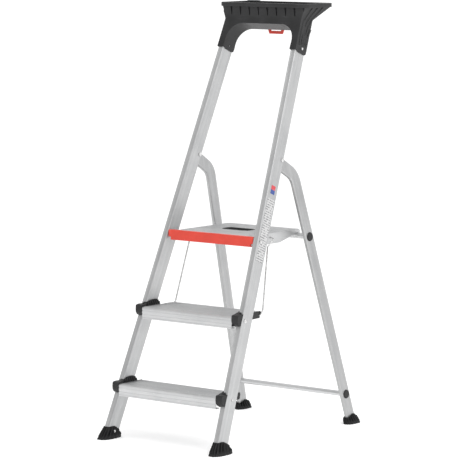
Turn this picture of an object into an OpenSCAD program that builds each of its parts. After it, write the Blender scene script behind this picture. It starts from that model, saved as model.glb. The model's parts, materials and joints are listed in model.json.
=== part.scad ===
// Folding household step ladder: two steps, a folding platform and a tool tray.
// Units are millimetres. +Z is up, +X is the user's right, +Y points to the rear frame.
// The origin lies on the floor, at the middle of the area that the four feet cover.

/* [Overall] */
// Piece to draw, or all of them
// Height of one step above the last
step_rise = 223; // [190:1:250]
// Height of the lowest tread
first_tread = 163; // [140:1:200]
// Half the distance between the stile centre lines at the floor
floor_half = 209.6; // [190:0.1:260]
// Length of each stile measured along it
stile_length = 1296; // [1200:1:1500]
// Lean of the front frame from vertical, in degrees
front_lean = 22.33; // [18:0.01:25]
// Lean of the rear frame from vertical, in degrees
rear_lean = 16.36; // [12:0.01:20]

/* [Stiles] */
// Width of the stile across the front
stile_w = 18; // [16:0.5:22]
// Depth of the stile web
stile_d = 47; // [40:0.5:60]
// Wall of the stile web
stile_wall = 1.8; // [1.4:0.1:2.4]
// Wall of the stile front
stile_front_wall = 3; // [2:0.1:4]
// Inward tilt of each stile, in degrees
stile_tilt = 3.34; // [2:0.01:4]

/* [Treads] */
// Depth of the fixed lower tread
lower_depth = 110; // [90:1:130]
// Depth of the folding middle tread
middle_depth = 150; // [120:1:160]
// Height of the front apron of a tread
apron_h = 35; // [28:1:40]
// Height of the rear apron of a tread
rear_apron_h = 20; // [16:1:26]
// Sheet thickness of the treads
tread_wall = 2.2; // [1.6:0.1:3]
// Distance between grip ribs
rib_pitch = 6; // [4:0.5:10]

/* [Platform] */
// Rear edge of the platform, measured from its pivot
platform_reach = 254; // [200:1:270]
// Half the width of the platform deck
deck_half = 134; // [110:1:140]
// Half the width of the platform front beam
beam_half = 152; // [130:1:153]
// Depth of the platform side rails
rail_h = 30; // [24:1:34]

/* [Rear frame] */
// Distance of the frame pivot along the stile
pivot_along = 910.5; // [850:0.5:960]
// Depth of the frame pivot behind the stile front
pivot_depth = 40; // [34:0.5:42]
// Distance of the leg line behind the pivot
leg_offset = 47.2; // [42:0.1:56]
// Width of the rear leg tube across the frame
leg_w = 12.6; // [11:0.1:14]
// Depth of the rear leg tube
leg_d = 38; // [30:0.5:40]
// Wall of the rear leg tube
leg_wall = 1.8; // [1.2:0.1:2.4]
// Inward tilt of each rear leg, in degrees
leg_tilt = 3.55; // [2:0.01:4.5]
// Height of the upper cross tube along the leg
upper_tube_along = 614; // [560:1:640]
// Radius of the upper cross tube
upper_tube_r = 9; // [7:0.5:9]
// Height of the lower rung along the leg
rung_along = 97.8; // [80:0.1:140]
// Radius of the lower rung
rung_r = 8; // [6:0.5:8]

/* [Link rods] */
// Radius of the bent wire rods
rod_r = 2.2; // [1.6:0.1:3]
// Reach of the rod pins behind the tread and platform pivots
rod_reach = 108; // [80:1:120]

/* [Tray] */
// Half the width of the tray rim
rim_half = 165; // [150:1:190]
// Depth of the tray rim from front to rear
rim_depth = 148; // [110:1:180]
// Height of the tray rim band
rim_h = 12; // [10:0.5:18]
// Number of slots across the tray front
slot_count = 9; // [5:2:11]

/* [Hardware] */
// Radius of the pivot pins
pin_r = 4; // [3:0.1:5]
// Radial clearance of a running bore
running_gap = 0.05; // [0.02:0.01:0.1]
// Free gap between pieces that move past each other
side_gap = 0.5; // [0.3:0.1:1]

/* [Hidden] */
$fn = 48;
eps = 0.01;
reach_far = 2000;
corner_steps = 5;

// angles of the front frame
lean_c = cos(front_lean);
lean_s = sin(front_lean);
rear_c = cos(rear_lean);
rear_s = sin(rear_lean);
tilt_t = tan(stile_tilt);
leg_tilt_t = tan(leg_tilt);

// feet
sole = 7;
front_foot = [45, 90];
front_foot_top = [25, 60];
front_foot_y = 30;
front_foot_h = 44;
front_foot_cut = 37.5;
front_foot_out = 2.5;
rear_foot = [35, 68];
rear_foot_top = [21, 48];
rear_foot_y = 3.5;
rear_foot_h = 40;
rear_foot_along = 28.5;
rear_foot_out = 0.5;
flutes = 18;
flute_depth = 1.4;
front_slope = [[36, 37.5], [46, 33], [54, 27], [62, 18], [70, 9], [78, 4]];
rear_slope = [[4, 31], [14, 26], [24, 16], [34, 5], [40, 4]];

// floor distance between the stile fronts and the rear legs, and the middle of the feet
pivot_up = pivot_along * lean_c - pivot_depth * lean_s;
leg_pivot_along = (pivot_up + leg_offset * rear_s) / rear_c;
spread = pivot_along * lean_s + pivot_depth * lean_c + leg_offset * rear_c
  + leg_pivot_along * rear_s;
base_y = -(front_foot_y - front_foot[1] / 2 + spread + rear_foot_y + rear_foot[1] / 2) / 2;

// a point of the front frame (depth v, along w) in the world
function front_y(v, w) = base_y + v * lean_c + w * lean_s;
function front_z(v, w) = -v * lean_s + w * lean_c;
// the distance along the front frame of a world point
function along_of(y, z) = (y - base_y) * lean_s + z * lean_c;
// the world y of a point at height z and depth v behind the stile front
function y_at(v, z) = base_y + (v + z * lean_s) / lean_c;
// x of the inner and outer stile faces at a distance along the frame
stile_face = stile_w / 2 / cos(stile_tilt);
function inner_x(w) = floor_half - stile_face - w * tilt_t;
function outer_x(w) = floor_half + stile_face - w * tilt_t;

// heights of the treads
lower_top = first_tread;
middle_top = first_tread + step_rise;
deck_top = first_tread + 2 * step_rise;

// how far the tread fronts stand before the stile plane, at tread height
tread_front = 22;
tread_pivot_v = 14;
tread_pivot_drop = 14;
lower_y = y_at(-tread_front, lower_top);
middle_y = y_at(-tread_front, middle_top);

// pivots of the middle tread and of the platform
tread_pivot_z = middle_top - tread_pivot_drop;
tread_pivot_y = y_at(tread_pivot_v, tread_pivot_z);
deck_pivot_z = deck_top - tread_pivot_drop;
deck_pivot_y = y_at(tread_pivot_v, deck_pivot_z);
deck_rear_y = deck_pivot_y + platform_reach;

// pins of the link rods, at the same place on tread and platform
rod_drop = 0;
rod_low_y = tread_pivot_y + rod_reach;
rod_low_z = tread_pivot_z - rod_drop;
rod_high_y = deck_pivot_y + rod_reach;
rod_high_z = deck_pivot_z - rod_drop;

// rear frame placement: its pivot is shared with the front frame
frame_pivot_y = front_y(pivot_depth, pivot_along);
frame_pivot_z = front_z(pivot_depth, pivot_along);
rear_floor_y = base_y + spread;
leg_floor_half = floor_half - pivot_along * tilt_t + leg_pivot_along * leg_tilt_t;
function leg_x(w) = leg_floor_half - w * leg_tilt_t;
function rear_y(v, w) = rear_floor_y + v * rear_c - w * rear_s;
function rear_z(v, w) = v * rear_s + w * rear_c;
leg_face = leg_w / 2 / cos(leg_tilt);

// upper cross tube and lower rung in the world
tube_y = rear_y(0, upper_tube_along);
tube_z = rear_z(0, upper_tube_along);
rung_y = rear_y(0, rung_along);
rung_z = rear_z(0, rung_along);

// bend of the rear leg towards its pivot
bend_angle = 43.6;
bend_r = 65;
pivot_side = 10.4;
end_margin = 12;
bend_drop_v = bend_r * (1 - cos(bend_angle));
bend_rise = bend_r * sin(bend_angle);
leg_head = (leg_offset - bend_drop_v + pivot_side * cos(bend_angle)) / sin(bend_angle);
bend_start = leg_pivot_along - bend_rise - leg_head * cos(bend_angle)
  - pivot_side * sin(bend_angle);

// brackets that wrap the stile fronts
bracket_wrap = -0.5;
slot_deep = 5;
lobe_points = [[-1, 3], [-2, -8], [-1, -17], [4, -24], [10, -27], [24, -27], [32, 6],
  [14, 7], [3, 6]];
hump_points = [[2, 4], [12, 7], [26, 11], [40, 15], [54, 17.5], [68, 17.5], [78, 14], [85, 7],
  [87, -4], [80, -16], [60, -30], [14, -30]];

// tread ends
lower_half = inner_x(along_of(lower_y, lower_top)) - 6.5;
middle_half = inner_x(along_of(middle_y, middle_top)) - 6.7;
middle_taper = 4.4;
cap_wall = 4;
cap_len = 20;
middle_cap_len = 50;
hub_len = 20;
rib_w = 1.8;
rib_h = 0.9;
front_lip = 16;
rear_lip = 14;

// rivets of the feet and of the fixed brackets
rivet_r = 2.5;
rivet_head_r = 4;
foot_rivet_v = 24;
foot_rivet_w = 34;
foot_rivet_len = 6;
bracket_rivet_y = 46;
bracket_rivet_drop = 12;

// platform
strip_front = deck_pivot_y - 12;
strip_half = inner_x(along_of(strip_front, deck_top)) - 1.8;
ear_low = -7;
beam_half_y = 8;
beam_drop = 13;
beam_rise = 11;
deck_front = deck_pivot_y + 2;
deck_wall = 3;
rail_wall = 4;
slot_half_x = 52;
slot_half_y = 24;
trim_w = 3.5;
slot_middle = 124;
saddle_gap = 0.3;
knuckle = 0.3;
bush_r = pin_r + 1.2;
rod_low_x = middle_half - 3.6;
rod_high_x = deck_half + 15;

// tray
rim_top = 1284 / 1296 * stile_length;
tray_deep = 52;
tray_front_y = y_at(-4, rim_top - tray_deep);
rim_front_y = tray_front_y - 7;
rim_rear_y = rim_front_y + rim_depth;
body_half = rim_half - 9;
socket_low = 1243 / 1296 * stile_length;
socket_wall = 3;
arch_top = 1320 / 1296 * stile_length;
arch_r = 52;
arch_half = inner_x(socket_low) - 2.6;
mould_front = -4;
mould_rear = 51;
mould_wall = 3;
mould_top = 1372 / 1296 * stile_length;
socket_drop = 3;
screw_v = 27;
screw_w = socket_low + 12;
screw_y = front_y(screw_v, screw_w);
screw_z = front_z(screw_v, screw_w);
hook_bore_r = 2.5;
hook_axis_y = front_y(mould_rear, arch_top) + 20;
hook_axis_z = front_z(mould_rear, arch_top) + 24;
hook_half = 33;
lug_w = 5;

// labels and hardware
label_t = 0.4;
head_t = 1.6;
plug_r = 14;

// ---------- shared helpers ----------

// outline of a rectangle with rounded corners, centred
function round_rect(a, b, r) = [
  for (q = [0:3]) for (k = [0:corner_steps])
    let (t = 90 * q + 90 * k / corner_steps,
      sx = (q == 0 || q == 3) ? 1 : -1,
      sy = (q < 2) ? 1 : -1)
    [sx * (a / 2 - r) + r * cos(t), sy * (b / 2 - r) + r * sin(t)]];

// outline of a rectangle with a fluted edge, centred
function fluted(a, b, n) = [
  for (i = [0:4 * n - 1])
    let (t = 360 * i / (4 * n),
      c = cos(t), s = sin(t),
      p = 2.6,
      m = pow(pow(abs(c), p) + pow(abs(s), p), -1 / p),
      k = 1 - (i % 4 == 0 ? flute_depth / (a / 2) : 0))
    [a / 2 * c * m * k, b / 2 * s * m * k]];

// the front frame, leaning back
module front_frame()
  translate([0, base_y, 0])
    rotate([-front_lean, 0, 0])
      children();

// the frame of one stile: x across it, y through its depth, z along it
module stile_frame(side)
  front_frame()
    translate([side * floor_half, 0, 0])
      rotate([0, -side * stile_tilt, 0])
        children();

// the frame of one rear leg
module leg_frame(side)
  translate([0, rear_floor_y, 0])
    rotate([rear_lean, 0, 0])
      translate([side * leg_floor_half, 0, 0])
        rotate([0, -side * leg_tilt, 0])
          children();

// a cylinder along x between two x values
module x_rod(y, z, r, x_a, x_b)
  translate([min(x_a, x_b), y, z])
    rotate([0, 90, 0])
      cylinder(r = r, h = abs(x_b - x_a));

// a cross-section drawn in y and z, pulled along x
module along_x(x_a, x_b)
  translate([min(x_a, x_b), 0, 0])
    rotate([90, 0, 90])
      linear_extrude(height = abs(x_b - x_a))
        children();

// everything below a height
module below(z)
  translate([-reach_far / 2, -reach_far / 2, z - reach_far])
    cube([reach_far, reach_far, reach_far]);

// the solid bar a stile would be without its channel
module stile_bar(side, low, high, grow = 0)
  stile_frame(side)
    translate([-stile_w / 2 - grow, -grow, low])
      cube([stile_w + 2 * grow, stile_d + 2 * grow, high - low]);

// everything outside the inner face of a stile, behind its front plane
module behind_stile_front(side)
  stile_frame(side)
    translate([side > 0 ? -stile_w / 2 : stile_w / 2 - reach_far / 10, 0, -50])
      cube([reach_far / 10, reach_far / 10, reach_far]);

// ---------- front frame ----------

// stile cross-section: closed front with two beads, open to the rear
module stile_section() {
  difference() {
    translate([0, stile_d / 2]) polygon(round_rect(stile_w, stile_d, 2));
    translate([-stile_w / 2 + stile_wall, stile_front_wall])
      square([stile_w - 2 * stile_wall, stile_d]);
    translate([-stile_w / 2 + 4, -eps]) square([stile_w - 8, 0.8]);
  }
}

module stile(side) {
  difference() {
    stile_frame(side)
      translate([0, 0, -40])
        linear_extrude(height = stile_length + 40) stile_section();
    below(sole);
    x_rod(frame_pivot_y, frame_pivot_z, pin_r, side * 100, side * 220);
    x_rod(tread_pivot_y, tread_pivot_z, pin_r, side * 100, side * 260);
    x_rod(deck_pivot_y, deck_pivot_z, pin_r, side * 100, side * 260);
    lower_rivet(side, 0);
    foot_rivet(side, 0);
    x_rod(screw_y, screw_z, rivet_r, side * (inner_x(screw_w) + 5), side * 260);
  }
}

module stile_left() color("silver") stile(-1);
module stile_right() color("silver") stile(1);

// a flared foot with a fluted skirt that leans with its leg
module flared_foot(side, base, top, height, shear_x, shear_y) {
  lean_matrix = [[1, 0, side * shear_x, 0], [0, 1, shear_y, 0], [0, 0, 1, 0],
    [0, 0, 0, 1]];
  multmatrix(lean_matrix)
    linear_extrude(height = height, slices = 1,
      scale = [top[0] / base[0], top[1] / base[1]])
      polygon(fluted(base[0], base[1], flutes));
}

// everything past a distance along a leg, in that leg's own frame
module past(along)
  translate([-reach_far / 2, -reach_far / 2, along])
    cube([reach_far, reach_far, reach_far]);

// the space above the falling rear edge of a foot
module foot_slope(y, slope)
  translate([0, y, 0])
    along_x(-reach_far / 4, reach_far / 4)
      polygon(concat(slope, [[reach_far / 10, 4], [reach_far / 10, 90], [slope[0][0], 90]]));

// everything above the inside of a sole
module above_sole()
  translate([-reach_far / 2, -reach_far / 2, sole])
    cube([reach_far, reach_far, 200]);

module front_foot(side)
  difference() {
    translate([side * (floor_half + front_foot_out), base_y + front_foot_y, 0])
      flared_foot(side, front_foot, front_foot_top, front_foot_h,
        -tilt_t - front_foot_out / front_foot_h,
        lean_s / lean_c + (stile_d / 2 / lean_c - front_foot_y) / front_foot_h);
    intersection() {
      stile_bar(side, -40, 120);
      above_sole();
    }
    translate([-reach_far / 2, -reach_far / 2, front_foot_cut])
      cube([reach_far, reach_far, 40]);
    foot_slope(base_y, front_slope);
    foot_rivet(side, 0);
    foot_head_seat(side);
  }

// flat seat cut for the head of a foot rivet
module foot_head_seat(side)
  stile_frame(side)
    translate([-side * (stile_w / 2 - stile_wall + foot_rivet_len), foot_rivet_v,
      foot_rivet_w])
      rotate([0, -side * 90, 0])
        cylinder(r = rivet_head_r + 0.5, h = 12);

module front_foot_left() color("dimgray") front_foot(-1);
module front_foot_right() color("dimgray") front_foot(1);

// one foot rivet: a shank through the inner web of the stile and a flat head
module foot_rivet(side, head)
  stile_frame(side)
    translate([-side * (stile_w / 2 - stile_wall), foot_rivet_v, foot_rivet_w])
      rotate([0, -side * 90, 0])
        union() {
          cylinder(r = rivet_r, h = foot_rivet_len);
          translate([0, 0, foot_rivet_len - eps])
            cylinder(r = rivet_head_r, h = head_t * head + eps);
        }

module foot_rivets() color("white")
  for (side = [-1, 1])
    foot_rivet(side, 1);

// ---------- treads ----------

// tops of the grip ribs as points from front to rear
function rib_points(first, count) = [
  for (i = [0:count - 1])
    for (q = [[0, 0], [0, rib_h], [rib_w, rib_h], [rib_w, 0]])
      [first + i * rib_pitch + q[0], q[1]]];

// one web under a tread, as points from its rear face to its front face
function web_points(y) = [
  [y + tread_wall, -tread_wall], [y + tread_wall, -rear_apron_h],
  [y, -rear_apron_h], [y, -tread_wall]];

// tread cross-section with grip ribs, front at y = 0 and top at z = 0
module tread_section(depth) {
  t = tread_wall;
  count = floor((depth - 14) / rib_pitch);
  difference() {
    polygon(concat(
      [[0, -apron_h], [0, -4], [1.2, -1.2], [4, 0]],
      rib_points(7, count),
      [[depth - 4, 0], [depth - 1.2, -1.2], [depth, -4], [depth, -rear_apron_h],
        [depth - rear_lip, -rear_apron_h], [depth - rear_lip, t - rear_apron_h],
        [depth - t, t - rear_apron_h], [depth - t, -t - 1.6], [depth - 5, -t]],
      web_points(depth * 0.7),
      web_points(depth * 0.36),
      [[5, -t], [t, -5], [t, t - apron_h], [front_lip, t - apron_h],
        [front_lip, -apron_h]]));
    translate([-1, -11]) square([1.8, 1.2]);
    translate([-1, -22.5]) square([2.2, 3.6]);
    translate([-1, -31]) square([2, 1.6]);
  }
}

module lower_tread() color("silver")
  translate([0, lower_y, lower_top])
    along_x(-lower_half, lower_half) tread_section(lower_depth);

module middle_tread() color("silver")
  difference() {
    translate([0, middle_y, middle_top])
      along_x(-middle_half, middle_half) tread_section(middle_depth);
    for (side = [-1, 1])
      middle_end_cut(side, 0);
  }

// everything beyond the slanted end of the middle tread
module middle_end_cut(side, out)
  translate([side * (middle_half + out), middle_y, middle_top])
    rotate([0, 0, side * middle_taper])
      translate([side > 0 ? 0 : -100, -60, -100])
        cube([100, 400, 200]);

// moulded bracket: a lobe over the stile front and a ribbed hump inside it
module bracket(side, y0, z0, half, gap) {
  w0 = along_of(y0, z0);
  x_in = half + gap;
  x_out = outer_x(w0) + bracket_wrap;
  teeth = 7;
  difference() {
    union() {
      translate([0, y0, z0])
        along_x(side * x_in, side * (inner_x(w0) + 8)) polygon(hump_points);
      difference() {
        translate([0, y0, z0])
          along_x(side * x_in, side * x_out) polygon(lobe_points);
        stile_frame(side)
          translate([-60, eps, 0]) cube([120, 100, reach_far]);
      }
    }
    behind_stile_front(side);
    for (i = [0:teeth - 1])
      translate([side * (x_in - 0.5), y0 + 22 + i * 8.8, z0 + 2])
        rotate([-24, 0, 0])
          translate([side > 0 ? 0 : -slot_deep, 0, 0])
            cube([slot_deep, 3.6, 30]);
    x_rod(tread_pivot_y, tread_pivot_z, pin_r, side * (x_in - 5), side * 260);
    lower_rivet(side, 0);
  }
}

module lower_bracket_left() color("dimgray")
  bracket(-1, lower_y, lower_top, lower_half, 0);
module lower_bracket_right() color("dimgray")
  bracket(1, lower_y, lower_top, lower_half, 0);
module middle_bracket_left() color("dimgray")
  bracket(-1, middle_y, middle_top, middle_half, side_gap);
module middle_bracket_right() color("dimgray")
  bracket(1, middle_y, middle_top, middle_half, side_gap);

// one rivet through the outer web, the inner web and the lower bracket
module lower_rivet(side, head) {
  y = lower_y + bracket_rivet_y;
  z = lower_top - bracket_rivet_drop;
  w = along_of(y, z);
  union() {
    x_rod(y, z, rivet_r, side * (lower_half + 1), side * (outer_x(w) + 1));
    x_rod(y, z, rivet_head_r, side * (outer_x(w) + 0.3),
      side * (outer_x(w) + 0.3 + head_t * head));
  }
}

module bracket_rivets() color("white")
  for (side = [-1, 1])
    lower_rivet(side, 1);

// black corner pieces on the rear of the treads
module lower_cap(side)
  translate([0, lower_y, lower_top])
    along_x(side * lower_half, side * (lower_half + cap_wall))
      polygon([[lower_depth - cap_len, 0.4], [lower_depth - 1, 0.4],
        [lower_depth + 1, -6], [lower_depth - 3, -rear_apron_h],
        [lower_depth - cap_len, -rear_apron_h]]);

module lower_cap_left() color("dimgray") lower_cap(-1);
module lower_cap_right() color("dimgray") lower_cap(1);

module middle_cap(side)
  difference() {
    intersection() {
      translate([0, middle_y, middle_top])
        along_x(side * (middle_half - 30), side * (middle_half + 20))
          polygon([[middle_depth - middle_cap_len, 0.6], [middle_depth - 2, 0.6],
            [middle_depth + 2, -5], [middle_depth - 8, -rear_apron_h],
            [middle_depth - middle_cap_len, -rear_apron_h]]);
      middle_end_cut(side, 0);
    }
    middle_end_cut(side, cap_wall);
    x_rod(rod_low_y, rod_low_z, rod_r + running_gap, side * 100, side * 260);
  }

module middle_cap_left() color("dimgray") middle_cap(-1);
module middle_cap_right() color("dimgray") middle_cap(1);

// plugs inside the tread ends that carry the pivot bores
module tread_hub(side)
  difference() {
    translate([0, middle_y, middle_top])
      along_x(side * (middle_half - hub_len), side * (middle_half + 10))
        polygon([[6, -5.2], [8, -tread_wall], [middle_depth * 0.36, -tread_wall],
          [middle_depth * 0.36, -apron_h + 6], [tread_wall, -apron_h + 6],
          [tread_wall, -5.2]]);
    middle_end_cut(side, 0);
    x_rod(tread_pivot_y, tread_pivot_z, pin_r + running_gap, side * 100, side * 260);
  }

module tread_hub_left() color("dimgray") tread_hub(-1);
module tread_hub_right() color("dimgray") tread_hub(1);

// ---------- pins ----------

module headed_pin(side, y, z, w, x_in, r)
  union() {
    x_rod(y, z, r, side * x_in, side * (outer_x(w) + 0.6));
    x_rod(y, z, r + 2, side * (outer_x(w) + 0.6), side * (outer_x(w) + 0.6 + head_t));
  }

module frame_pins() color("white")
  for (side = [-1, 1])
    let (w = along_of(frame_pivot_y, frame_pivot_z))
    union() {
      headed_pin(side, frame_pivot_y, frame_pivot_z, w, inner_x(w) - 0.6, pin_r);
      x_rod(frame_pivot_y, frame_pivot_z, pin_r + 2, side * (inner_x(w) - 0.6),
        side * (inner_x(w) - 0.6 - head_t));
    }

module tread_pins() color("white")
  for (side = [-1, 1])
    headed_pin(side, tread_pivot_y, tread_pivot_z,
      along_of(tread_pivot_y, tread_pivot_z), middle_half - 14, pin_r);

module platform_pins() color("white")
  for (side = [-1, 1])
    headed_pin(side, deck_pivot_y, deck_pivot_z,
      along_of(deck_pivot_y, deck_pivot_z), beam_half - 12, pin_r);

module platform_bush(side)
  difference() {
    x_rod(deck_pivot_y, deck_pivot_z, bush_r, side * (beam_half + side_gap), side * 170);
    x_rod(deck_pivot_y, deck_pivot_z, pin_r, side * 100, side * 260);
    behind_stile_front(side);
  }

module platform_bush_left() color("dimgray") platform_bush(-1);
module platform_bush_right() color("dimgray") platform_bush(1);

// ---------- platform ----------

// platform cross-section: a ribbed sheet with a folded rear edge
module deck_section() {
  depth = deck_rear_y - deck_front;
  count = floor((depth - 20) / rib_pitch);
  t = deck_wall;
  translate([deck_front, deck_top])
    polygon(concat(
      [[0, -t], [0, 0]],
      rib_points(8, count),
      [[depth - 5, 0], [depth - 1.5, -1.5], [depth, -5], [depth, -10],
        [depth - 2.5, -10], [depth - 2.5, -5], [depth - 5, -t]]));
}

module platform_deck() color("silver")
  difference() {
    along_x(rail_wall - deck_half, deck_half - rail_wall) deck_section();
    translate([0, deck_pivot_y + slot_middle, deck_top - 20])
      linear_extrude(height = 40)
        polygon(round_rect(2 * slot_half_x, 2 * slot_half_y, 14));
  }

// ring that lines the hand slot
module slot_trim() color("dimgray")
  translate([0, deck_pivot_y + slot_middle, deck_top - 6])
    linear_extrude(height = 6 + rib_h + 0.5)
      difference() {
        polygon(round_rect(2 * slot_half_x, 2 * slot_half_y, 14));
        polygon(round_rect(2 * (slot_half_x - trim_w), 2 * (slot_half_y - trim_w),
          14 - trim_w));
      }

module platform_beam() color("silver")
  difference() {
    translate([-beam_half, deck_pivot_y - beam_half_y, deck_pivot_z - beam_drop])
      cube([2 * beam_half, 2 * beam_half_y, beam_drop + beam_rise]);
    translate([40 - beam_half, deck_pivot_y - beam_half_y + 2,
      deck_pivot_z - beam_drop + 2])
      cube([2 * beam_half - 80, 2 * beam_half_y - 4, beam_drop + beam_rise - 4]);
    for (side = [-1, 1])
      x_rod(deck_pivot_y, deck_pivot_z, pin_r + running_gap, side * 105, side * 200);
  }

// red front strip wrapped over and under the beam
module platform_strip() color("red")
  union() {
    strip_run();
    for (side = [-1, 1])
      along_x(side * (beam_half - 1), side * strip_half)
        polygon([
          [strip_front, deck_pivot_z + ear_low],
          [strip_front, deck_top - 2],
          [strip_front + 2, deck_top],
          [deck_front - 2, deck_top],
          [deck_front - 2, deck_pivot_z + beam_rise],
          [deck_pivot_y - beam_half_y, deck_pivot_z + beam_rise],
          [deck_pivot_y - beam_half_y, deck_pivot_z + ear_low]]);
  }

// the strip along the beam
module strip_run()
  along_x(-beam_half, beam_half)
    polygon([
      [strip_front, deck_pivot_z - beam_drop - 3],
      [strip_front, deck_top - 2],
      [strip_front + 2, deck_top],
      [deck_front, deck_top],
      [deck_front, deck_pivot_z + beam_rise],
      [deck_pivot_y - beam_half_y, deck_pivot_z + beam_rise],
      [deck_pivot_y - beam_half_y, deck_pivot_z - beam_drop],
      [deck_pivot_y - 2, deck_pivot_z - beam_drop],
      [deck_pivot_y - 2, deck_pivot_z - beam_drop - 3]]);

// side rail with a saddle that rests on the upper cross tube
module platform_rail(side)
  difference() {
    along_x(side * (deck_half - rail_wall), side * deck_half)
      polygon([[deck_pivot_y + 8, deck_top - 1], [deck_pivot_y + 8, deck_pivot_z - 13],
        [deck_pivot_y + 20, deck_top - 1 - rail_h - 2],
        [rod_high_y + 46, deck_top - 1 - rail_h - 2],
        [tube_y - 12, tube_z - 4 + 10], [tube_y + 9.3, tube_z - 4],
        [tube_y + 13, tube_z - 4], [deck_rear_y, tube_z + 6],
        [deck_rear_y, deck_top - 5], [deck_rear_y - 4, deck_top - 1]]);
    x_rod(tube_y, tube_z, upper_tube_r + saddle_gap, side * 100, side * 260);
    along_x(side * 100, side * 260)
      polygon([[tube_y - 9.3, tube_z], [tube_y + 9.3, tube_z],
        [tube_y + 9.3, tube_z - 30], [tube_y - 26, tube_z - 30]]);
    x_rod(rod_high_y, rod_high_z, rod_r + running_gap, side * 100, side * 260);
  }

module platform_rail_left() color("lightgray") platform_rail(-1);
module platform_rail_right() color("lightgray") platform_rail(1);

// ---------- link rods ----------

function rod_path(side) = [
  [side * (rod_low_x - 16), rod_low_y, rod_low_z],
  [side * rod_low_x, rod_low_y, rod_low_z],
  [side * rod_low_x, rod_low_y + 13, rod_low_z + 18],
  [side * rod_high_x, rod_high_y - 33, rod_high_z - 24],
  [side * rod_high_x, rod_high_y, rod_high_z],
  [side * (deck_half - 9), rod_high_y, rod_high_z]];

// a round bar between two points
module bar(a, b, r) {
  d = b - a;
  l = norm(d);
  translate(a)
    rotate([0, acos(d[2] / l), atan2(d[1], d[0])])
      cylinder(r = r, h = l);
}

module link_rod(side) {
  path = rod_path(side);
  for (i = [0:len(path) - 2])
    bar(path[i], path[i + 1], rod_r);
  for (i = [1:len(path) - 2])
    translate(path[i]) sphere(r = rod_r + knuckle, $fn = 24);
}

module link_rod_left() color("lightgray") link_rod(-1);
module link_rod_right() color("lightgray") link_rod(1);

// ---------- rear frame ----------

module leg_section() {
  difference() {
    polygon(round_rect(leg_w, leg_d, 4.5));
    polygon(round_rect(leg_w - 2 * leg_wall, leg_d - 2 * leg_wall, 3));
  }
}

// a bent run of a section, from below the floor to the pivot end
module leg_run(head_len) {
  translate([0, 0, -20])
    linear_extrude(height = bend_start + 20) children();
  translate([0, -bend_r, bend_start])
    rotate([0, -90, 0])
      rotate([0, 0, 90 - bend_angle])
        rotate_extrude(angle = bend_angle, $fn = 96)
          translate([bend_r, 0])
            rotate(90) children();
  translate([0, -bend_drop_v, bend_start + bend_rise])
    rotate([bend_angle, 0, 0])
      linear_extrude(height = head_len) children();
}

// a short sleeve inside the tube at each end of the bend
module leg_sleeve()
  translate([0, 0, -4])
    linear_extrude(height = 8)
      difference() {
        polygon(round_rect(leg_w - leg_wall, leg_d - leg_wall, 3.7));
        polygon(round_rect(leg_w - 3 * leg_wall, leg_d - 3 * leg_wall, 2));
      }

module rear_leg(side) {
  head_len = leg_head + end_margin;
  difference() {
    leg_frame(side)
      union() {
        leg_run(head_len) leg_section();
        translate([0, 0, bend_start]) leg_sleeve();
        translate([0, -bend_drop_v, bend_start + bend_rise])
          rotate([bend_angle, 0, 0]) leg_sleeve();
      }
    below(sole);
    x_rod(frame_pivot_y, frame_pivot_z, pin_r + running_gap, side * 100, side * 220);
    x_rod(tube_y, tube_z, upper_tube_r, side * 100, side * 260);
    x_rod(rung_y, rung_z, rung_r, side * 100, side * 260);
  }
}

module rear_leg_left() color("silver") rear_leg(-1);
module rear_leg_right() color("silver") rear_leg(1);

module upper_tube() color("silver")
  difference() {
    x_rod(tube_y, tube_z, upper_tube_r, -leg_x(upper_tube_along) - 6,
      leg_x(upper_tube_along) + 6);
    x_rod(tube_y, tube_z, upper_tube_r - 1.5, -260, 260);
  }

module lower_rung() color("silver")
  difference() {
    x_rod(rung_y, rung_z, rung_r, -leg_x(rung_along) - 6, leg_x(rung_along) + 6);
    x_rod(rung_y, rung_z, rung_r - 1.5, -260, 260);
  }

// domed plugs over the tube ends on the outer leg faces
module plug(side, along, y, z, bore)
  union() {
    leg_frame(side)
      translate([side * leg_w / 2, 0, along])
        rotate([0, side * 90, 0])
          cylinder(r1 = plug_r, r2 = plug_r - 2.5, h = 3.6);
    x_rod(y, z, bore, side * (leg_x(along) - 14), side * (leg_x(along) + leg_face + 1.5));
  }

module tube_plugs() color("dimgray")
  for (side = [-1, 1]) {
    plug(side, upper_tube_along, tube_y, tube_z, upper_tube_r - 1.5);
    plug(side, rung_along, rung_y, rung_z, rung_r - 1.5);
  }

module rear_foot_piece(side)
  difference() {
    translate([side * (leg_floor_half + rear_foot_out), rear_floor_y + rear_foot_y, 0])
      flared_foot(side, rear_foot, rear_foot_top, rear_foot_h,
        -leg_tilt_t - rear_foot_out / rear_foot_h,
        -rear_s / rear_c - rear_foot_y / rear_foot_h);
    intersection() {
      leg_frame(side)
        translate([0, 0, -30])
          linear_extrude(height = 130) polygon(round_rect(leg_w, leg_d, 4.5));
      above_sole();
    }
    leg_frame(side) past(rear_foot_along);
    foot_slope(rear_floor_y, rear_slope);
  }

module rear_foot_left() color("dimgray") rear_foot_piece(-1);
module rear_foot_right() color("dimgray") rear_foot_piece(1);

// ---------- tray ----------

// the arched opening between the tray legs, in x and along, grown by a margin
module arch_opening(grow) {
  r = arch_r + grow;
  half = arch_half + grow;
  top = arch_top + grow;
  low = socket_low - socket_drop - 20;
  arc = [for (k = [0:16]) [half - r + r * cos(k * 90 / 16), top - r + r * sin(k * 90 / 16)]];
  polygon(concat(
    [[-half, low], [half, low]],
    arc,
    [for (k = [16:-1:0]) [-arc[k][0], arc[k][1]]]));
}

// front outline of the tray legs and arch in x and along
module tray_front_outline() {
  low = socket_low - socket_drop;
  difference() {
    polygon([[-outer_x(low) - socket_wall, low], [outer_x(low) + socket_wall, low],
      [outer_x(mould_top) + socket_wall, mould_top],
      [-outer_x(mould_top) - socket_wall, mould_top]]);
    arch_opening(0);
  }
}

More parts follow.
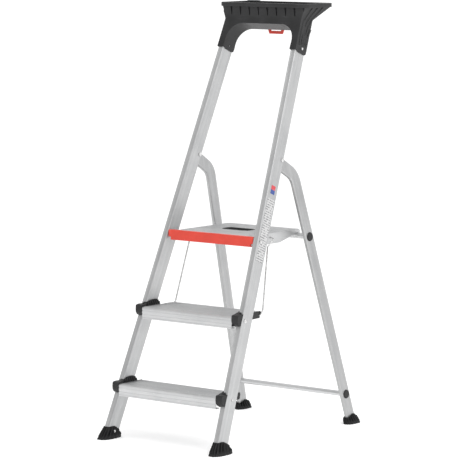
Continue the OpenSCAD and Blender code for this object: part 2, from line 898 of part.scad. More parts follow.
// side outline of the tray legs in depth and along, with a rounded rear corner
module tray_side_outline()
  polygon([[mould_front, socket_low], [2, socket_low], [14, socket_low - socket_drop],
    [mould_rear - 9, socket_low - socket_drop], [mould_rear - 4, socket_low - 1.5],
    [mould_rear - 1, socket_low + 2], [mould_rear, socket_low + 7],
    [mould_rear, mould_top], [mould_front, mould_top]]);

// hollow behind the front panel, open to the rear
module tray_pocket()
  front_frame()
    translate([0, mould_rear + 10, 0])
      rotate([90, 0, 0])
        linear_extrude(height = mould_rear + 10 - mould_front - mould_wall)
          difference() {
            low = socket_low - socket_drop;
            polygon([[-inner_x(low) + mould_wall, low], [inner_x(low) - mould_wall, low],
              [inner_x(mould_top) - mould_wall, mould_top],
              [-inner_x(mould_top) + mould_wall, mould_top]]);
            arch_opening(mould_wall);
          }

// bowl under the rim, drawn inwards by a wall
module tray_bowl(wall) {
  low_z = rim_top - tray_deep + wall;
  rise = tray_deep - rim_h - wall - 1;
  front = tray_front_y + 2 * wall;
  hull() {
    translate([14 + wall - body_half, front, low_z])
      cube([2 * (body_half - 14 - wall), 60 - 3 * wall, 1]);
    translate([12 + wall - body_half, front, low_z + 18])
      cube([2 * (body_half - 12 - wall), 66 - 3 * wall, 1]);
    translate([wall - body_half, front, low_z + rise])
      cube([2 * (body_half - wall), rim_depth - 18 - 3 * wall, 1]);
  }
}

module tray_rim()
  translate([0, rim_front_y + rim_depth / 2, rim_top - rim_h])
    linear_extrude(height = rim_h)
      polygon(round_rect(2 * rim_half, rim_depth, 22));

// legs and arch of the tray, before the sockets are cut
module tray_arch()
  difference() {
    intersection() {
      front_frame()
        translate([0, mould_rear, 0])
          rotate([90, 0, 0])
            linear_extrude(height = mould_rear - mould_front) tray_front_outline();
      front_frame()
        along_x(-200, 200) tray_side_outline();
      below(rim_top - 18);
    }
    tray_pocket();
  }

// slots that taper downwards across the front, under the rim
module tray_slots() {
  pitch = 2 * (body_half - 2) / slot_count;
  for (i = [0:slot_count])
    translate([3 - body_half + i * pitch, tray_front_y + 3, rim_top - rim_h])
      rotate([90, 0, 0])
        linear_extrude(height = 12)
          polygon([[-4.6, 0], [4, 0], [1.4, -25], [-0.8, -25]]);
}

// grooves down the outer face of a tray leg
module leg_grooves(side)
  for (g = [0:2])
    stile_frame(side)
      translate([side * (stile_w / 2 + socket_wall) - 1.2, 22 + g * 9, socket_low + 26])
        cube([2.4, 3.6, 62]);

module tray() color("dimgray")
  difference() {
    union() {
      tray_arch();
      tray_bowl(0);
      tray_rim();
      for (side = [-1, 1])
        translate([side * (hook_half + 1 + lug_w / 2) - lug_w / 2, hook_axis_y - 6,
          hook_axis_z - 6])
          cube([lug_w, 12, 30]);
    }
    tray_bowl(mould_wall);
    translate([0, rim_front_y + rim_depth / 2, rim_top - rim_h - 2])
      linear_extrude(height = rim_h + 4)
        polygon(round_rect(2 * rim_half - 28, rim_depth - 30, 8));
    tray_slots();
    for (side = [-1, 1]) {
      leg_grooves(side);
      stile_bar(side, 1100, stile_length);
      stile_frame(side)
        translate([2 - stile_w / 2, mould_wall, stile_length - 1])
          cube([stile_w - 4, mould_rear, 36]);
      x_rod(screw_y, screw_z, rivet_r, side * 100, side * 260);
    }
    x_rod(hook_axis_y, hook_axis_z, hook_bore_r, -hook_half - 4, hook_half + 4);
  }

module tray_screws() color("white")
  for (side = [-1, 1])
    let (face = outer_x(screw_w) + socket_wall)
    union() {
      x_rod(screw_y, screw_z, rivet_r, side * (inner_x(screw_w) + 5), side * (face + 1));
      x_rod(screw_y, screw_z, rivet_head_r, side * (face + 0.3),
        side * (face + 0.3 + head_t));
    }

module tray_clip() color("gainsboro")
  translate([-rim_half + 26, rim_rear_y - 6, rim_top])
    linear_extrude(height = 4)
      polygon(round_rect(46, 10, 3));

module hook_pin() color("white")
  x_rod(hook_axis_y, hook_axis_z, hook_bore_r, -hook_half - 4, hook_half + 4);

// trapezoid hook that swings under the tray
module bucket_hook() color("red")
  difference() {
    union() {
      x_rod(hook_axis_y, hook_axis_z, 5, -hook_half, hook_half);
      translate([0, hook_axis_y + 2, hook_axis_z])
        rotate([90, 0, 0])
          linear_extrude(height = 4)
            difference() {
              polygon([[-hook_half, 0], [hook_half, 0], [hook_half - 2, -22],
                [25, -37], [-25, -37], [-hook_half + 2, -22]]);
              polygon([[-hook_half + 9, -8], [hook_half - 9, -8], [19, -28], [-19, -28]]);
            }
    }
    x_rod(hook_axis_y, hook_axis_z, hook_bore_r + running_gap, -100, 100);
  }

// ---------- labels ----------

module label_panel() color("white")
  difference() {
    stile_frame(1)
      translate([stile_w / 2, 7, 590])
        cube([label_t, 34, 196]);
    x_rod(deck_pivot_y, deck_pivot_z, pin_r + 2.4, 100, 260);
  }

module label_badge() color("tomato")
  stile_frame(1)
    translate([stile_w / 2, 14, 800])
      cube([label_t, 20, 26]);

stile_left();
stile_right();
front_foot_left();
front_foot_right();
foot_rivets();
lower_tread();
lower_bracket_left();
lower_bracket_right();
lower_cap_left();
lower_cap_right();
middle_bracket_left();
middle_bracket_right();
bracket_rivets();
tray();
tray_screws();
tray_clip();
hook_pin();
bucket_hook();
frame_pins();
tread_pins();
platform_pins();
platform_bush_left();
platform_bush_right();
label_panel();
label_badge();
rear_leg_left();
rear_leg_right();
upper_tube();
lower_rung();
tube_plugs();
rear_foot_left();
rear_foot_right();
platform_deck();
slot_trim();
platform_beam();
platform_strip();
platform_rail_left();
platform_rail_right();
middle_tread();
tread_hub_left();
tread_hub_right();
middle_cap_left();
middle_cap_right();
link_rod_left();
link_rod_right();
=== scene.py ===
"""Looks of a three-step folding household stepladder with a platform and a tool tray."""

import json
import logging
import math
from dataclasses import dataclass, field
from enum import Enum
from typing import Any, Iterable, Sequence

import bmesh
import bpy
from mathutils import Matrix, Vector
from mathutils.bvhtree import BVHTree


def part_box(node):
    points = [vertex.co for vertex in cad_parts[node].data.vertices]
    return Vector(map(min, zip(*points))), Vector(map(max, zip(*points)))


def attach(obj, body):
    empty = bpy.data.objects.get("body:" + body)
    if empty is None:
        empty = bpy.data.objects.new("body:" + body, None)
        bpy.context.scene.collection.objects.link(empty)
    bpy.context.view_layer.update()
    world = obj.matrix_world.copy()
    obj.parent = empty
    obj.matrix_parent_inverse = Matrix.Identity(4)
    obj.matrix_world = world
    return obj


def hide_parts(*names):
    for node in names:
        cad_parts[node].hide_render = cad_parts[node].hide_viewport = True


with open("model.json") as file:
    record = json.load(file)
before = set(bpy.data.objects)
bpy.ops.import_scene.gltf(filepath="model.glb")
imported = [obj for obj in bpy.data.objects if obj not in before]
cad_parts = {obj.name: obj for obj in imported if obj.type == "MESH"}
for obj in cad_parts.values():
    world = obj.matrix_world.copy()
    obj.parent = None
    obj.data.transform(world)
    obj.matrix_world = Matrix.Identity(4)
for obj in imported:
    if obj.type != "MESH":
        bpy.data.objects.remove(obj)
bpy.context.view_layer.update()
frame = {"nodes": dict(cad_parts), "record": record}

LOG = logging.getLogger("stepladder")

JOIN_DISTANCE = 1e-5
FLAT_ANGLE = math.radians(0.4)
ACROSS = Vector((1.0, 0.0, 0.0))
UP = Vector((0.0, 0.0, 1.0))
BACKWARDS = Vector((0.0, 1.0, 0.0))
FRONT_LEAN = 22.33
CREASE = math.radians(40)


class Side(Enum):
    """The two sides of the ladder, with the sign of x on each."""

    LEFT = -1
    RIGHT = 1

    def named(self, stem: str) -> str:
        """The name of a piece on this side."""
        return f"{stem}_{self.name.lower()}"


class Body(Enum):
    """The bodies that move on their own."""

    FRONT = "front_frame"
    REAR = "rear_frame"
    PLATFORM = "platform"
    STEP = "middle_step"
    ROD_LEFT = "rod_left"
    ROD_RIGHT = "rod_right"
    HOOK = "hook"


class Blend(Enum):
    """The ways in which two values join in a Math node."""

    ADD = "ADD"
    SUBTRACT = "SUBTRACT"
    MULTIPLY = "MULTIPLY"
    DIVIDE = "DIVIDE"
    LESS = "LESS_THAN"
    GREATER = "GREATER_THAN"


# ---------- node trees ----------


class NodeGraph:
    """A node tree with one way to add any node."""

    def __init__(self, tree: bpy.types.NodeTree) -> None:
        """Keeps the tree.

        Args:
            tree: the tree that nodes are added to.
        """
        self.tree = tree

    def node(
        self,
        kind: str,
        settings: dict[str, Any] | None = None,
        inputs: dict[Any, Any] | None = None,
    ) -> bpy.types.Node:
        """Adds a node, with its settings made before its sockets.

        Args:
            kind: the node's type.
            settings: its properties, and a ramp's stops.
            inputs: values or links by socket name or number.

        Returns:
            The new node.
        """
        made = self.tree.nodes.new(kind)
        for key, value in (settings or {}).items():
            if key == "stops":
                self._set_stops(made.color_ramp, value)
            else:
                setattr(made, key, value)
        for key, value in (inputs or {}).items():
            socket = made.inputs[key]
            if isinstance(value, Signal):
                self.tree.links.new(value.socket, socket)
            elif isinstance(value, bpy.types.NodeSocket):
                self.tree.links.new(value, socket)
            else:
                socket.default_value = value
        return made

    @staticmethod
    def _set_stops(ramp: bpy.types.ColorRamp, stops: Sequence[tuple]) -> None:
        """Gives a ramp its stops.

        Args:
            ramp: the ramp of a node.
            stops: pairs of a position and a colour.
        """
        while len(ramp.elements) < len(stops):
            ramp.elements.new(1.0)
        for element, (position, colour) in zip(ramp.elements, stops):
            element.position = position
            element.color = colour


class Signal:
    """An output socket on which plain arithmetic adds Math nodes."""

    def __init__(self, graph: NodeGraph, socket: bpy.types.NodeSocket) -> None:
        """Keeps the socket and its graph.

        Args:
            graph: the graph that the socket is in.
            socket: the output socket.
        """
        self.graph = graph
        self.socket = socket

    def _join(self, blend: Blend, first: Any, second: Any) -> "Signal":
        """One Math node on two values.

        Args:
            blend: the operation.
            first: a signal or a number.
            second: a signal or a number.

        Returns:
            The result.
        """
        made = self.graph.node("ShaderNodeMath", {"operation": blend.value}, {0: first, 1: second})
        return Signal(self.graph, made.outputs[0])

    def __add__(self, other: Any) -> "Signal":
        """self + other."""
        return self._join(Blend.ADD, self, other)

    def __radd__(self, other: Any) -> "Signal":
        """other + self."""
        return self._join(Blend.ADD, other, self)

    def __sub__(self, other: Any) -> "Signal":
        """self - other."""
        return self._join(Blend.SUBTRACT, self, other)

    def __rsub__(self, other: Any) -> "Signal":
        """other - self."""
        return self._join(Blend.SUBTRACT, other, self)

    def __mul__(self, other: Any) -> "Signal":
        """self * other."""
        return self._join(Blend.MULTIPLY, self, other)

    def __rmul__(self, other: Any) -> "Signal":
        """other * self."""
        return self._join(Blend.MULTIPLY, other, self)

    def __truediv__(self, other: Any) -> "Signal":
        """self / other."""
        return self._join(Blend.DIVIDE, self, other)

    def __lt__(self, other: Any) -> "Signal":
        """1 where self is below other."""
        return self._join(Blend.LESS, self, other)

    def __gt__(self, other: Any) -> "Signal":
        """1 where self is above other."""
        return self._join(Blend.GREATER, self, other)

    def whole(self) -> "Signal":
        """The whole number below."""
        made = self.graph.node("ShaderNodeMath", {"operation": "FLOOR"}, {0: self})
        return Signal(self.graph, made.outputs[0])

    def part(self) -> "Signal":
        """The fraction above the whole number."""
        made = self.graph.node("ShaderNodeMath", {"operation": "FRACT"}, {0: self})
        return Signal(self.graph, made.outputs[0])

    def eased(self, low: float, high: float) -> "Signal":
        """A smooth 0 to 1 between two values.

        Args:
            low: where it leaves 0.
            high: where it reaches 1.

        Returns:
            The eased signal.
        """
        made = self.graph.node(
            "ShaderNodeMapRange",
            {"interpolation_type": "SMOOTHSTEP"},
            {"Value": self, "From Min": low, "From Max": high},
        )
        return Signal(self.graph, made.outputs[0])


class FinishGraph(NodeGraph):
    """The shader tree of one finish, with patterns on Object coordinates."""

    def __init__(self, name: str) -> None:
        """Starts an empty material.

        Args:
            name: the material's name.
        """
        self.material = bpy.data.materials.new(name)
        self.material.use_nodes = True
        super().__init__(self.material.node_tree)
        self.tree.nodes.clear()
        self.place = Signal(self, self.node("ShaderNodeTexCoord").outputs["Object"])

    def along(self, axis: Vector, scale: float) -> Signal:
        """How far a point lies along an axis, times a scale."""
        made = self.node(
            "ShaderNodeVectorMath", {"operation": "DOT_PRODUCT"}, {0: self.place, 1: axis * scale}
        )
        return Signal(self, made.outputs["Value"])

    def vector(self, x: Any, y: Any, z: Any) -> Signal:
        """A vector of three values."""
        return Signal(self, self.node("ShaderNodeCombineXYZ", None, {0: x, 1: y, 2: z}).outputs[0])

    def noise(self, place: Signal, scale: float, detail: float = 2.0) -> Signal:
        """Soft noise about one half.

        Args:
            place: the coordinates.
            scale: how many waves a unit holds.
            detail: how many finer layers are added.

        Returns:
            The noise value.
        """
        made = self.node(
            "ShaderNodeTexNoise", {}, {"Vector": place, "Scale": scale, "Detail": detail}
        )
        return Signal(self, made.outputs[0])

    def streaks(
        self, axes: Sequence[Vector], scales: Sequence[float], detail: float
    ) -> Signal:
        """Noise that runs longer along some axes than along others.

        Args:
            axes: three directions square to each other.
            scales: how many waves a metre holds along each.
            detail: how many finer layers are added.

        Returns:
            The noise value.
        """
        steps = [self.along(axis, scale) for axis, scale in zip(axes, scales)]
        return self.noise(self.vector(*steps), 1.0, detail)

    def cells(self, place: Signal, scale: float) -> Signal:
        """The distance to the nearest of scattered points."""
        made = self.node("ShaderNodeTexVoronoi", {}, {"Vector": place, "Scale": scale})
        return Signal(self, made.outputs["Distance"])

    def mix(self, factor: Any, first: Any, second: Any) -> Signal:
        """A colour between two colours.

        Args:
            factor: 0 for the first, 1 for the second.
            first: a colour or a colour signal.
            second: a colour or a colour signal.

        Returns:
            The mixed colour.
        """
        made = self.node(
            "ShaderNodeMix", {"data_type": "RGBA", "clamp_factor": True},
            {0: factor, 6: first, 7: second},
        )
        return Signal(self, made.outputs[2])

    def close(
        self,
        colour: Any,
        roughness: Any,
        height: Signal,
        depth: float,
        constants: dict[str, Any],
    ) -> bpy.types.Material:
        """Ends the tree in one Principled shader with a bump.

        Args:
            colour: the base colour.
            roughness: the roughness.
            height: the relief, about 0 to 1.
            depth: how deep the relief is, in metres.
            constants: plain values set on the shader's own sockets.

        Returns:
            The finished material.
        """
        bump = self.node(
            "ShaderNodeBump", {}, {"Height": height, "Distance": depth, "Strength": 0.6}
        )
        shader = self.node(
            "ShaderNodeBsdfPrincipled",
            {},
            {"Base Color": colour, "Roughness": roughness, "Normal": bump.outputs[0], **constants},
        )
        self.node("ShaderNodeOutputMaterial", {}, {"Surface": shader.outputs[0]})
        return self.material


def grey(level: float, warmth: float = 0.0) -> tuple[float, float, float, float]:
    """A grey with a touch of warm or cool."""
    return (level * (1 + warmth), level, level * (1 - warmth), 1.0)


def cross_axes(axis: Vector) -> tuple[Vector, Vector, Vector]:
    """Two unit directions square to an axis, then the unit axis."""
    drawn = axis.normalized()
    first = drawn.orthogonal().normalized()
    return first, drawn.cross(first), drawn


# ---------- finishes ----------


@dataclass(frozen=True)
class SatinAluminium:
    """Extruded aluminium with a satin skin drawn along its length."""

    name: str
    tone: float = 0.60
    spread: float = 0.07
    roughness: float = 0.40
    metallic: float = 0.85
    fine_lines: tuple[float, float, float] = (1500, 1500, 9)
    broad_bands: tuple[float, float, float] = (90, 90, 2.5)
    scratches: tuple[float, float, float] = (70, 700, 55)
    relief: float = 0.00006

    def make(self, axis: Vector) -> bpy.types.Material:
        """Builds the metal.

        Args:
            axis: the direction in which it was drawn.

        Returns:
            The material.
        """
        graph = FinishGraph(self.name)
        axes = cross_axes(axis)
        fine = graph.streaks(axes, self.fine_lines, 3.0)
        broad = graph.streaks(axes, self.broad_bands, 2.0)
        handled = graph.noise(graph.place, 16.0, 4.0)
        scratch = graph.streaks(axes, self.scratches, 1.0).eased(0.69, 0.74)
        shade = fine * 0.35 + broad * 0.35 + handled * 0.30
        colour = graph.mix(
            shade.eased(0.3, 0.7),
            grey(self.tone - self.spread, -0.012),
            grey(self.tone + self.spread, -0.004),
        )
        colour = graph.mix(scratch * 0.5, colour, grey(self.tone + 0.2))
        rough = self.roughness + (fine - 0.5) * 0.22 + (handled - 0.5) * 0.16
        return graph.close(
            colour, rough, fine + scratch * 0.6, self.relief, {"Metallic": self.metallic}
        )


@dataclass(frozen=True)
class MouldedPlastic:
    """Plastic from a mould with a fine even grain and a little scuffing."""

    name: str
    colour: tuple[float, float, float]
    scuff: tuple[float, float, float]
    roughness: float = 0.46
    grain: float = 1500.0
    depth: float = 0.00008
    shine: float = 0.35
    shade: float = 0.7
    rubs: tuple[float, float, float] = (260, 260, 30)

    def make(self, axis: Vector) -> bpy.types.Material:
        """Builds the plastic.

        Args:
            axis: the direction in which scuffs run.

        Returns:
            The material.
        """
        graph = FinishGraph(self.name)
        grain = graph.cells(graph.place, self.grain)
        cloud = graph.noise(graph.place, 22.0, 4.0)
        rubbed = graph.streaks(cross_axes(axis), self.rubs, 3.0)
        worn = (rubbed * cloud).eased(0.30, 0.52)
        deeper = tuple(self.shade * value for value in self.colour)
        colour = graph.mix(cloud.eased(0.35, 0.65), (*deeper, 1.0), (*self.colour, 1.0))
        colour = graph.mix(worn * 0.45, colour, (*self.scuff, 1.0))
        rough = self.roughness + (cloud - 0.5) * 0.18 + worn * 0.12
        return graph.close(
            colour, rough, grain + rubbed * 0.3, self.depth, {"Specular IOR Level": self.shine}
        )


@dataclass(frozen=True)
class PlatedSteel:
    """Bright plated steel with small dimples and a few dull patches."""

    name: str
    tone: float = 0.70
    roughness: float = 0.26
    drawn_lines: tuple[float, float, float] = (900, 900, 40)
    relief: float = 0.00003

    def make(self, axis: Vector) -> bpy.types.Material:
        """Builds the plating.

        Args:
            axis: the direction in which the wire or pin was drawn.

        Returns:
            The material.
        """
        graph = FinishGraph(self.name)
        lines = graph.streaks(cross_axes(axis), self.drawn_lines, 2.0)
        patch = graph.noise(graph.place, 120.0, 3.0)
        colour = graph.mix(
            patch.eased(0.35, 0.65), grey(self.tone - 0.12, 0.01), grey(self.tone + 0.06)
        )
        rough = self.roughness + (patch - 0.5) * 0.2 + (lines - 0.5) * 0.12
        return graph.close(colour, rough, lines, self.relief, {"Metallic": 1.0})


@dataclass(frozen=True)
class PrintedFilm:
    """A plastic film with rows of small plain marks, or two bands of colour."""

    name: str
    row: float = 0.0
    split: float = 0.0
    ground: tuple[float, float, float] = (0.56, 0.56, 0.56)
    ink: tuple[float, float, float] = (0.13, 0.13, 0.14)
    marks: float = 190.0
    band_rows: float = 6.0
    relief: float = 0.00002

    def make(self, axis: Vector) -> bpy.types.Material:
        """Builds the film.

        Args:
            axis: the direction in which the rows follow each other.

        Returns:
            The material.
        """
        graph = FinishGraph(self.name)
        drawn = axis.normalized()
        over = ACROSS.cross(drawn).normalized()
        fibre = graph.noise(graph.place, 900.0, 2.0)
        wear = graph.noise(graph.place, 60.0, 4.0)
        if self.row:
            count = graph.along(drawn, 1.0 / self.row)
            block = graph.noise(
                graph.vector(count.whole() * 7.31, graph.along(over, self.marks), 0.0), 1.0, 0.0
            )
            group = (count / self.band_rows).whole()
            band = graph.noise(graph.vector(group * 3.7, 0.0, 0.0), 1.0, 0.0)
            mask = (count.part() < 0.42) * (block > 0.47) * (band > 0.40)
        else:
            mask = graph.along(drawn, 1.0) > self.split
        colour = graph.mix(mask * 0.85, (*self.ground, 1.0), (*self.ink, 1.0))
        colour = graph.mix(wear.eased(0.55, 0.8) * 0.35, colour, grey(0.55))
        rough = 0.34 + wear * 0.2
        return graph.close(colour, rough, fibre, self.relief, {"Specular IOR Level": 0.4})


@dataclass(frozen=True)
class StudioPaper:
    """Pale matt paper under the ladder, with a little light of its own."""

    name: str
    tone: float = 0.90
    glow: float = 0.30

    def make(self, axis: Vector) -> bpy.types.Material:
        """Builds the paper.

        Args:
            axis: not used.

        Returns:
            The material.
        """
        graph = FinishGraph(self.name)
        fibre = graph.noise(graph.place, 40.0, 4.0)
        colour = graph.mix(fibre, grey(self.tone - 0.01), grey(self.tone + 0.01))
        return graph.close(
            colour, 0.9, fibre, 0.00002,
            {
                "Specular IOR Level": 0.0,
                "Emission Color": (1.0, 1.0, 1.0, 1.0),
                "Emission Strength": self.glow,
            },
        )


# ---------- geometry trees ----------


class GeometryGraph(NodeGraph):
    """A geometry tree with named inputs for its sizes."""

    def __init__(self, name: str, sizes: dict[str, str]) -> None:
        """Starts the tree with its inputs and one output.

        Args:
            name: the tree's name.
            sizes: socket types by input name.
        """
        super().__init__(bpy.data.node_groups.new(name, "GeometryNodeTree"))
        face = self.tree.interface
        face.new_socket("Geometry", in_out="INPUT", socket_type="NodeSocketGeometry")
        face.new_socket("Geometry", in_out="OUTPUT", socket_type="NodeSocketGeometry")
        for label, kind in sizes.items():
            face.new_socket(label, in_out="INPUT", socket_type=kind)
        self.given = self.node("NodeGroupInput").outputs
        self.result = self.node("NodeGroupOutput")

    def close(self, geometry: bpy.types.NodeSocket) -> None:
        """Ends the tree in smooth shading, Realize Instances and Set Material.

        Args:
            geometry: the geometry to finish.
        """
        real = self.node("GeometryNodeRealizeInstances", {}, {"Geometry": geometry})
        smooth = self.node("GeometryNodeSetShadeSmooth", {}, {"Geometry": real.outputs[0]})
        dressed = self.node(
            "GeometryNodeSetMaterial",
            {},
            {"Geometry": smooth.outputs[0], "Material": self.given["Material"]},
        )
        self.tree.links.new(dressed.outputs[0], self.result.inputs[0])

    def apply(self, piece: bpy.types.Object, values: dict[str, Any]) -> None:
        """Runs the tree on a piece and keeps only its plain mesh.

        Args:
            piece: the object that holds the input points or edges.
            values: the inputs by name.
        """
        live = piece.modifiers.new(self.tree.name, "NODES")
        live.node_group = self.tree
        for item in self.tree.interface.items_tree:
            if item.item_type == "SOCKET" and item.in_out == "INPUT" and item.name in values:
                live[item.identifier] = values[item.name]
        keep_result(piece)


class BarTree(GeometryGraph):
    """Round bars swept along the edges of a mesh, with rounded corners."""

    def __init__(self) -> None:
        """Builds the tree."""
        super().__init__(
            "swept_bars",
            {
                "Radius": "NodeSocketFloat",
                "Corner Radius": "NodeSocketFloat",
                "Corner Steps": "NodeSocketInt",
                "Sides": "NodeSocketInt",
                "Material": "NodeSocketMaterial",
            },
        )
        line = self.node("GeometryNodeMeshToCurve", {}, {"Mesh": self.given["Geometry"]})
        girth = self.node(
            "GeometryNodeInputNamedAttribute", {"data_type": "FLOAT"}, {"Name": "girth"}
        )
        bent = self.node(
            "GeometryNodeFilletCurve",
            {"mode": "POLY"},
            {
                "Curve": line.outputs[0],
                "Count": self.given["Corner Steps"],
                "Radius": self.given["Corner Radius"],
                "Limit Radius": True,
            },
        )
        round_section = self.node(
            "GeometryNodeCurvePrimitiveCircle",
            {"mode": "RADIUS"},
            {"Resolution": self.given["Sides"], "Radius": self.given["Radius"]},
        )
        swept = self.node(
            "GeometryNodeCurveToMesh",
            {},
            {
                "Curve": bent.outputs[0],
                "Profile Curve": round_section.outputs[0],
                "Scale": girth.outputs["Attribute"],
                "Fill Caps": True,
            },
        )
        self.close(swept.outputs[0])


class DomeTree(GeometryGraph):
    """Low round heads set on points, each facing the way its point aims."""

    def __init__(self) -> None:
        """Builds the tree."""
        super().__init__(
            "domed_heads",
            {
                "Radius": "NodeSocketFloat",
                "Rise": "NodeSocketFloat",
                "Sides": "NodeSocketInt",
                "Material": "NodeSocketMaterial",
            },
        )
        ball = self.node(
            "GeometryNodeMeshUVSphere", {}, {"Segments": self.given["Sides"], "Rings": 12}
        )
        size = self.node(
            "ShaderNodeCombineXYZ",
            {},
            {0: self.given["Radius"], 1: self.given["Radius"], 2: self.given["Rise"]},
        )
        head = self.node(
            "GeometryNodeTransform", {}, {"Geometry": ball.outputs[0], "Scale": size.outputs[0]}
        )
        aim = self.node(
            "GeometryNodeInputNamedAttribute", {"data_type": "FLOAT_VECTOR"}, {"Name": "aim"}
        )
        girth = self.node(
            "GeometryNodeInputNamedAttribute", {"data_type": "FLOAT"}, {"Name": "girth"}
        )
        turn = self.node(
            "FunctionNodeAlignRotationToVector", {"axis": "Z"}, {"Vector": aim.outputs[0]}
        )
        points = self.node(
            "GeometryNodeMeshToPoints", {"mode": "VERTICES"}, {"Mesh": self.given["Geometry"]}
        )
        placed = self.node(
            "GeometryNodeInstanceOnPoints",
            {},
            {
                "Points": points.outputs[0],
                "Instance": head.outputs[0],
                "Rotation": turn.outputs[0],
                "Scale": girth.outputs[0],
            },
        )
        self.close(placed.outputs[0])


# ---------- meshes ----------


def new_piece(name: str, mesh: bpy.types.Mesh) -> bpy.types.Object:
    """A linked object for a mesh."""
    piece = bpy.data.objects.new(name, mesh)
    bpy.context.scene.collection.objects.link(piece)
    return piece


def keep_result(piece: bpy.types.Object) -> None:
    """Turns a piece's modifiers into its plain mesh.

    Args:
        piece: the object to settle.
    """
    graph = bpy.context.evaluated_depsgraph_get()
    mesh = bpy.data.meshes.new_from_object(
        piece.evaluated_get(graph), preserve_all_data_layers=True, depsgraph=graph
    )
    piece.modifiers.clear()
    piece.data = mesh


def point_outwards(mesh: bpy.types.Mesh) -> None:
    """Recalculates the normals of closed shells."""
    work = bmesh.new()
    work.from_mesh(mesh)
    bmesh.ops.remove_doubles(work, verts=work.verts, dist=JOIN_DISTANCE)
    bmesh.ops.recalc_face_normals(work, faces=work.faces)
    work.to_mesh(mesh)
    work.free()


def joined(node: str) -> bmesh.types.BMesh:
    """A copy of a CAD node's mesh with its loose triangles joined.

    Args:
        node: the CAD node.

    Returns:
        The joined copy.
    """
    work = bmesh.new()
    work.from_mesh(frame["nodes"][node].data)
    bmesh.ops.remove_doubles(work, verts=work.verts, dist=JOIN_DISTANCE)
    bmesh.ops.dissolve_degenerate(work, edges=work.edges, dist=JOIN_DISTANCE / 10)
    return work


def islands(node: str) -> list[tuple[Vector, Vector]]:
    """The box of each separate solid of a CAD node.

    Args:
        node: the CAD node.

    Returns:
        Pairs of lowest and highest corners.
    """
    work = joined(node)
    left = set(work.verts)
    boxes = []
    while left:
        group, edge = set(), [left.pop()]
        while edge:
            vert = edge.pop()
            group.add(vert)
            for link in vert.link_edges:
                other = link.other_vert(vert)
                if other in left:
                    left.discard(other)
                    edge.append(other)
        low = Vector([min(v.co[i] for v in group) for i in range(3)])
        high = Vector([max(v.co[i] for v in group) for i in range(3)])
        boxes.append((low, high))
    work.free()
    return sorted(boxes, key=lambda box: (box[0].x, box[0].z))


def lines_mesh(
    name: str, lines: Iterable[Sequence[Vector]], girths: Iterable[Sequence[float]] | None = None
) -> bpy.types.Mesh:
    """A mesh of open lines, with the girth of a bar at each point.

    Args:
        name: the mesh's name.
        lines: the points of each line.
        girths: the girth at each point, or none for 1 all along.

    Returns:
        The mesh.
    """
    lines = list(lines)
    widths = list(girths) if girths else [[1.0] * len(line) for line in lines]
    points, edges = [], []
    for line in lines:
        start = len(points)
        points += [tuple(point) for point in line]
        edges += [(start + i, start + i + 1) for i in range(len(line) - 1)]
    mesh = bpy.data.meshes.new(name)
    mesh.from_pydata(points, edges, [])
    width = mesh.attributes.new("girth", "FLOAT", "POINT")
    width.data.foreach_set("value", [value for row in widths for value in row])
    return mesh


def points_mesh(name: str, spots: Sequence[tuple[Vector, Vector, float]]) -> bpy.types.Mesh:
    """A mesh of points with the way each one aims.

    Args:
        name: the mesh's name.
        spots: the place, the aim and the girth of each point.

    Returns:
        The mesh.
    """
    mesh = bpy.data.meshes.new(name)
    mesh.from_pydata([tuple(place) for place, _, _ in spots], [], [])
    aim = mesh.attributes.new("aim", "FLOAT_VECTOR", "POINT")
    aim.data.foreach_set("vector", [value for _, way, _ in spots for value in way])
    girth = mesh.attributes.new("girth", "FLOAT", "POINT")
    girth.data.foreach_set("value", [size for _, _, size in spots])
    return mesh


@dataclass(frozen=True)
class Edge:
    """How the edges of a piece are rounded, and if its flat faces are merged first."""

    width: float
    segments: int = 2
    angle: float = math.radians(34)
    merge: bool = True


SOFT_EDGE = Edge(0.0009, 3)
METAL_EDGE = Edge(0.0006, 2)
SHELL_EDGE = Edge(0.0006, 2, merge=False)
FINE_EDGE = Edge(0.00025, 2)
FILM_EDGE = Edge(0.0001, 1)


